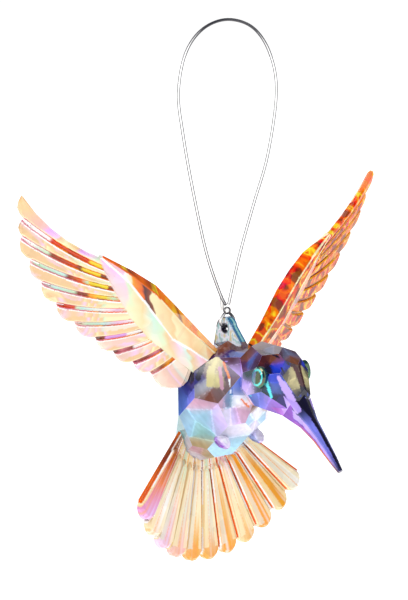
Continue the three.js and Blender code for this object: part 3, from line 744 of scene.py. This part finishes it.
def groove_points(number):
    """(chord, span) points along a groove, from its root."""
    root_span = FIRST_GROOVE_SPAN - GROOVE_PITCH * number - PITCH_GAIN * number ** 2
    heading = FIRST_HEADING + GROOVE_FAN * number + FAN_GAIN * number ** 2
    reach = GROOVE_LENGTHS[number]
    root = Vector((plate_seam(root_span) - GROOVE_OVERLAP, root_span))
    bowed = heading + GROOVE_BOW
    middle = root + Vector((math.sin(bowed), math.cos(bowed))) * reach / 2
    end = root + Vector((math.sin(heading), math.cos(heading))) * reach
    return [bezier(root, middle, end, i / GROOVE_STEPS) for i in range(GROOVE_STEPS + 1)]


GROOVES = [groove_points(number) for number in range(len(GROOVE_LENGTHS))]
groove_tree = tree_of([(*point, 0) for points in GROOVES for point in points])


def nearest_groove(chord, span):
    """(distance, groove number, share of its length, which side) of the nearest groove."""
    _, index, distance = groove_tree.find((chord, span, 0))
    number, step = divmod(index, GROOVE_STEPS + 1)
    points = GROOVES[number]
    run = points[min(step + 1, GROOVE_STEPS)] - points[max(step - 1, 0)]
    gap = Vector((chord, span)) - points[step]
    side = 1 if run.y * gap.x - run.x * gap.y > 0 else -1
    return distance, number, step / GROOVE_STEPS, side


PEACH = paint(246, 204, 150)
PINK = paint(246, 184, 178)
ROSE = paint(214, 120, 140)
PALE_LILAC = paint(240, 200, 232)
CREAM = paint(251, 234, 186)
PALE_GREEN = paint(206, 236, 200)
PALE_AQUA = paint(196, 236, 226)
WHITE = paint(255, 253, 250)
YELLOW = paint(246, 222, 40)
AMBER = paint(248, 160, 30)
ORANGE = paint(236, 102, 8)
RED_ORANGE = paint(216, 62, 8)
BROWN = paint(140, 58, 24)
ORCHID = paint(226, 168, 240)
BEIGE = paint(230, 192, 142)

# along each groove, from its root to its tip
GROOVE_STOPS = [
    [(0, AMBER), (0.05, YELLOW), (0.18, YELLOW), (0.2, RED_ORANGE), (0.64, RED_ORANGE),
     (0.67, WHITE), (0.97, WHITE), (1, ROSE)],
    [(0, BROWN), (0.1, BROWN), (0.12, YELLOW), (0.3, YELLOW), (0.33, BROWN), (0.4, RED_ORANGE),
     (0.66, BROWN), (0.7, PALE_GREEN), (0.9, WHITE), (1, ROSE)],
    [(0, BROWN), (0.08, BROWN), (0.1, YELLOW), (0.3, YELLOW), (0.33, PALE_GREEN), (0.4, ORANGE),
     (0.56, BROWN), (0.6, PALE_AQUA), (0.95, PALE_GREEN), (1, PINK)],
    [(0, AMBER), (0.1, PALE_GREEN), (0.2, YELLOW), (0.4, AMBER), (0.44, BROWN), (0.55, BROWN),
     (0.6, PALE_GREEN), (0.85, PALE_AQUA), (1, ROSE)],
    [(0, CREAM), (0.15, PALE_LILAC), (0.35, WHITE), (0.65, PALE_AQUA), (0.72, PALE_GREEN),
     (0.76, RED_ORANGE), (1, RED_ORANGE)],
    [(0, WHITE), (0.3, PALE_LILAC), (0.55, PALE_AQUA), (0.8, PALE_GREEN), (1, PINK)],
    [(0, WHITE), (0.35, WHITE), (0.4, ORCHID), (0.8, ORCHID), (0.84, BROWN), (1, BROWN)],
    [(0, CREAM), (0.3, WHITE), (0.5, WHITE), (0.55, BROWN), (0.8, ROSE), (1, BROWN)],
    [(0, BROWN), (0.3, ROSE), (0.6, BROWN), (0.8, BROWN), (1, ROSE)],
    [(0, ORANGE), (0.3, AMBER), (0.6, BROWN), (1, PINK)],
]
GROOVE_HALF_WIDTH = 0.5
RIB_LINE = 0.8                  # the dark line beside a groove ends here
RIB_HIGHLIGHT = 1.15                # and the painted highlight line beside that one ends here
PLATE_SPAN = 54                 # the plate's reach along the span
SEAM_OVERLAP = 0.2
RIDGE_HALF_WIDTH = 0.3
CREASE_SHARE = 0.3              # where the crease lies between leading edge and ridge
WING_SEED = 1.0


def feather_tint(chord, span):
    """Ribs painted to look glossy: each groove has a dark line and a painted highlight line along
    both its sides.
    """
    distance, number, share, side = nearest_groove(chord, span)
    drift = noise.noise(Vector((chord * 0.12, span * 0.07, WING_SEED)))
    if distance < GROOVE_HALF_WIDTH:
        return along(GROOVE_STOPS[number], share)
    if distance < RIB_LINE:
        return along([
            (0, ORANGE), (0.25, BROWN), (0.3, AMBER), (0.5, ORANGE), (0.75, ROSE), (1, ROSE),
        ], share + 0.5 * drift)
    if distance < RIB_HIGHLIGHT:
        # A painted highlight line beside the dark line.
        return WHITE if side > 0 else CREAM
    if number == 0 and side < 0:
        return along([
            (0, PINK), (0.12, PALE_GREEN), (0.2, PALE_LILAC), (0.3, ORCHID), (0.36, PEACH),
            (0.5, CREAM), (0.6, BEIGE), (0.62, PALE_LILAC), (0.75, ORCHID), (0.8, PINK), (1, PEACH),
        ], share + 0.15 * drift + 0.02 * distance)
    colour = along([
        (0, CREAM), (0.1, PALE_GREEN), (0.18, BEIGE), (0.32, PEACH), (0.4, PALE_LILAC),
        (0.44, BEIGE), (0.6, PEACH), (0.7, CREAM), (0.74, BEIGE), (0.86, PALE_LILAC), (1, BEIGE),
    ], share + 0.8 * drift)
    return blend(colour, PALE_LILAC if number > 4 else BEIGE, 0.35 if side > 0 else 0)


def plate_tint(chord, span):
    """The arm plate: an orange leading strip, a cream face, a pale ridge line that is a painted
    highlight, and a pearly rear.
    """
    lead, ridge, seam = leading_edge(span), plate_ridge(span), plate_seam(span)
    crease = lead + CREASE_SHARE * (ridge - lead)
    wobble = noise.noise(Vector((chord * 0.5, span * 0.3, WING_SEED)))
    slant = span + 1.5 * chord + 2 * wobble
    if abs(chord - crease) < 0.22:
        return ORANGE if span > 28 else CREAM
    if chord < crease:
        band = along([
            (0, AMBER), (8, AMBER), (9, ORANGE), (16, AMBER), (17, BROWN), (19, AMBER),
            (26, ORANGE), (27, YELLOW), (29, BROWN), (34, ORANGE), (40, BROWN), (48, ORANGE),
            (54, BROWN),
        ], slant)
        return blend(band, YELLOW, 1.5 * (wobble - 0.15))
    if chord < ridge - RIDGE_HALF_WIDTH:
        return along([
            (0, AMBER), (6, PEACH), (7, CREAM), (14, PEACH), (22, CREAM), (23, PEACH), (31, CREAM),
            (31.6, BROWN), (35, MAROON), (36, ORANGE), (40, AMBER), (41, CREAM), (44, WHITE),
            (45, PALE_LILAC), (50, PINK), (54, ORANGE),
        ], slant)
    # Painted highlight along the ridge.
    if chord < ridge + RIDGE_HALF_WIDTH:
        return WHITE
    band = along([
        (0, PINK), (5, PALE_LILAC), (9, BEIGE), (10, PALE_AQUA), (14, PALE_LILAC), (18, BEIGE),
        (22, PALE_GREEN), (28, PALE_AQUA), (34, PEACH), (42, PALE_GREEN), (44, PALE_LILAC),
        (54, ORCHID),
    ], slant - 1.5 * ridge)
    return blend(band, CREAM, 0.6 * (chord - ridge) / max(seam - ridge, 0.1))


def wing_tint(point, facet):
    chord, span = wing_place(point)
    if span < PLATE_SPAN and chord < plate_seam(span) + SEAM_OVERLAP:
        return plate_tint(chord, span)
    colour = feather_tint(chord, span)
    return blend(colour, ROSE if span > 40 else ORANGE, 0.45) if facet == 0 else colour


def far_wing_painted_reflection(point, _facet):
    """Painted reflection: the deep orange the coating shows at this wing's angle, with painted
    yellow glints and pale crease lines as painted highlights.
    """
    chord, span = wing_place(point)
    swirl = noise.noise(Vector((chord * 0.3, span * 0.2, 3.0)))
    swirl += 0.25 * noise.noise(Vector((chord * 0.9, span * 0.5, 8.0)))
    glow = along([
        (-0.5, BROWN), (-0.3, BROWN), (-0.22, RED_ORANGE), (-0.08, ORANGE), (0.1, ORANGE),
        (0.16, AMBER), (0.3, YELLOW), (0.36, ORANGE), (0.5, RED_ORANGE),
    ], swirl * 1.3)
    if span < PLATE_SPAN and chord < plate_seam(span) + SEAM_OVERLAP:
        lead, ridge = leading_edge(span), plate_ridge(span)
        crease = lead + CREASE_SHARE * (ridge - lead)
        on_crease = abs(chord - ridge) < RIDGE_HALF_WIDTH or abs(chord - crease) < 0.2
        return CREAM if on_crease else glow
    distance, number, share, side = nearest_groove(chord, span)
    if distance < GROOVE_HALF_WIDTH:
        return blend(BROWN, AMBER, (share - 0.3) * 1.2)
    if distance < RIB_LINE:
        return blend(AMBER, CREAM, (share - 0.85) * 2.5)
    return blend(glow, PEACH, (share - 0.93) * 2.5)


wing_material = acrylic("wing_acrylic", 0.15, 5 * MM, 0.05)
# The far wing stands for the same acrylic as the near one; its paint is the reflected colour it
# shows at its angle.
far_wing_material = acrylic("far_wing_acrylic", 0.12, 2.4 * MM, 0.2)
far_wing_shader = far_wing_material.node_tree.nodes["Principled BSDF"]
far_wing_shader.inputs["Coat Weight"].default_value = 0
far_wing_shader.inputs["Specular IOR Level"].default_value = 0.15
finished(
    "near_wing", fine_copy("right_wing", 0.25 * MM, 2, 0.5 * MM), wing_tint,
    wing_material, "right_wing", "bird",
)
finished(
    "far_wing", fine_copy("left_wing", 0.25 * MM, 2, 0.5 * MM), far_wing_painted_reflection,
    far_wing_material, "left_wing", "bird",
)

# ---------------------------------------------------------------- the tail

TAIL_APEX = at(-12.6, 0, -24.1)
TAIL_HALF_ANGLE = math.radians(47.5)
TAIL_PAINT_START = 22           # the feathers' tints run from here, out from the apex
TAIL_PAINT_LENGTH = 30
DEEP_AMBER = paint(240, 164, 56)
TAN = paint(242, 190, 112)
SMOKE = paint(232, 226, 204)

# for each feather from the near side: at its root, halfway and at its tip
TAIL_FEATHERS = [
    (BROWN, ORANGE, ORCHID), (CREAM, WHITE, PEACH), (PALE_GREEN, CREAM, PALE_LILAC),
    (CREAM, SMOKE, PINK), (PEACH, CREAM, DEEP_AMBER), (PALE_GREEN, SMOKE, DEEP_AMBER),
    (CREAM, TAN, AMBER), (PALE_LILAC, CREAM, TAN), (AMBER, DEEP_AMBER, AMBER),
    (CREAM, DEEP_AMBER, DEEP_AMBER), (CREAM, SMOKE, WHITE),
]
LAST_FEATHER = len(TAIL_FEATHERS) - 1
FEATHER_ANGLE = 2 * TAIL_HALF_ANGLE / LAST_FEATHER
EDGE_TINTS = [(0, ORANGE), (1, TAN), (5, AMBER), (6, ORANGE)]


def tail_tint(point, _facet):
    """Ribbed feathers, each with an amber edge line, a painted highlight line beside it, and pale
    sides that are painted highlights.
    """
    offset = (point - TAIL_APEX) / MM
    reach = math.hypot(offset.x, offset.z)
    turn = math.atan2(offset.x, -offset.z) / FEATHER_ANGLE + LAST_FEATHER / 2
    number = min(max(round(turn), 0), LAST_FEATHER)
    across = turn - number
    to_edge = (0.5 - abs(across)) * FEATHER_ANGLE * reach
    root, middle, tip = TAIL_FEATHERS[number]
    share = (reach - TAIL_PAINT_START) / TAIL_PAINT_LENGTH
    drift = noise.noise(Vector((turn * 1.3, reach * 0.06, 5.0)))
    line = along(EDGE_TINTS, number)
    if to_edge < 0.24:
        return blend(line, BROWN, 2.5 * drift)
    # A painted highlight line beside the edge line.
    if to_edge < 0.6:
        return WHITE if drift > -0.1 else CREAM
    if to_edge < 0.85:
        return blend(line, CREAM, 0.65)
    colour = along([(0, root), (0.45, middle), (0.95, tip)], share + 0.3 * drift)
    streak = noise.noise(Vector((turn * 9, reach * 0.05, 9.0)))
    colour = blend(colour, AMBER if streak > 0 else WHITE, 0.7 * abs(streak))
    if number == 0 or share > 0.9:
        return colour
    # Painted highlights: pale bands down both sides of the feather; the thin amber line between is
    # the feather's own.
    if across < -0.14:
        return blend(colour, CREAM if number % 2 else SMOKE, 0.75)
    if -0.08 < across < -0.04:
        return blend(colour, AMBER, 0.6)
    if across > 0.2:
        return blend(colour, CREAM, 0.65)
    return colour


finished(
    "tail", fine_copy("tail_fan", 0.3 * MM, 2, 0.5 * MM), tail_tint,
    acrylic("tail_acrylic", 0.12, 5 * MM, 0.05),
    "tail_fan", "bird",
)

# ---------------------------------------------------------------- the eyes

EYE_DARK = paint(12, 20, 48)
EYE_REFLECTION = paint(120, 130, 176)
EYE_FILM = 400                  # nanometres


def eye_rule(node):
    """A rule that paints one eye: a dark rim, a ring with a painted cyan highlight over most of it,
    and a dark pupil with a paler painted reflection on one side.
    """
    low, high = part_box(node)
    centre = (low + high) / 2
    half = (high - low) / 2

    def tint(point, _facet):
        out = point - centre
        across, up = out.y / half.y, out.z / half.z
        radius = math.hypot(across, up)
        inner = math.hypot(across + 0.15, up * 0.9)
        if radius > 0.86:
            return DARK_TEAL
        if 0.6 < radius < 0.78:
            return CYAN if across < 0.35 else TEAL
        if inner < 0.3:
            return EYE_DARK
        return EYE_REFLECTION if across > 0.1 else EYE_DARK
    return tint


for side in ("left", "right"):
    node = f"{side}_eye"
    finished(
        f"{side}_eye_inlay", fine_copy(node, 0.1 * MM, 2, 0.35 * MM), eye_rule(node),
        acrylic(f"{side}_eye_acrylic", 0.2, 1.5 * MM, 0.1, film=EYE_FILM),
        node, "bird",
    )

# ------------------------------------------------------------ the cord, painted light and shade


def clear_cord():
    """Stands in for clear nylon, opaque: the bright core and the two dark edges are painted light
    and shade set by the facing angle, with faint streaks.
    """
    material = bpy.data.materials.new("clear_cord")
    material.use_nodes = True
    tree = material.node_tree
    shader = tree.nodes["Principled BSDF"]
    coordinates = node_of(tree, "ShaderNodeTexCoord")
    streaks = node_of(tree, "ShaderNodeTexNoise", Scale=900.0, Detail=2.0)
    tree.links.new(coordinates.outputs["Object"], streaks.inputs["Vector"])
    facing = node_of(tree, "ShaderNodeLayerWeight", Blend=0.5)
    shifted = node_of(tree, "ShaderNodeMath", operation="MULTIPLY_ADD")
    tree.links.new(streaks.outputs["Fac"], shifted.inputs[0])
    shifted.inputs[1].default_value = 0.05
    tree.links.new(facing.outputs["Facing"], shifted.inputs[2])
    ramp = node_of(tree, "ShaderNodeValToRGB")
    core, rim = ramp.color_ramp.elements
    core.position, core.color = 0.12, (1, 1, 1, 1)
    rim.position, rim.color = 0.24, (0.03, 0.03, 0.04, 1)
    tree.links.new(shifted.outputs[0], ramp.inputs["Fac"])
    tree.links.new(ramp.outputs["Color"], shader.inputs["Base Color"])
    shader.inputs["Roughness"].default_value = 0.15
    shader.inputs["Transmission Weight"].default_value = 0
    shader.inputs["IOR"].default_value = 1.5
    return material


cord_material = clear_cord()
loop.data.materials.append(cord_material)
for part in cord_parts:
    part.data.materials.clear()
    part.data.materials.append(cord_material)

bpy.context.view_layer.update()
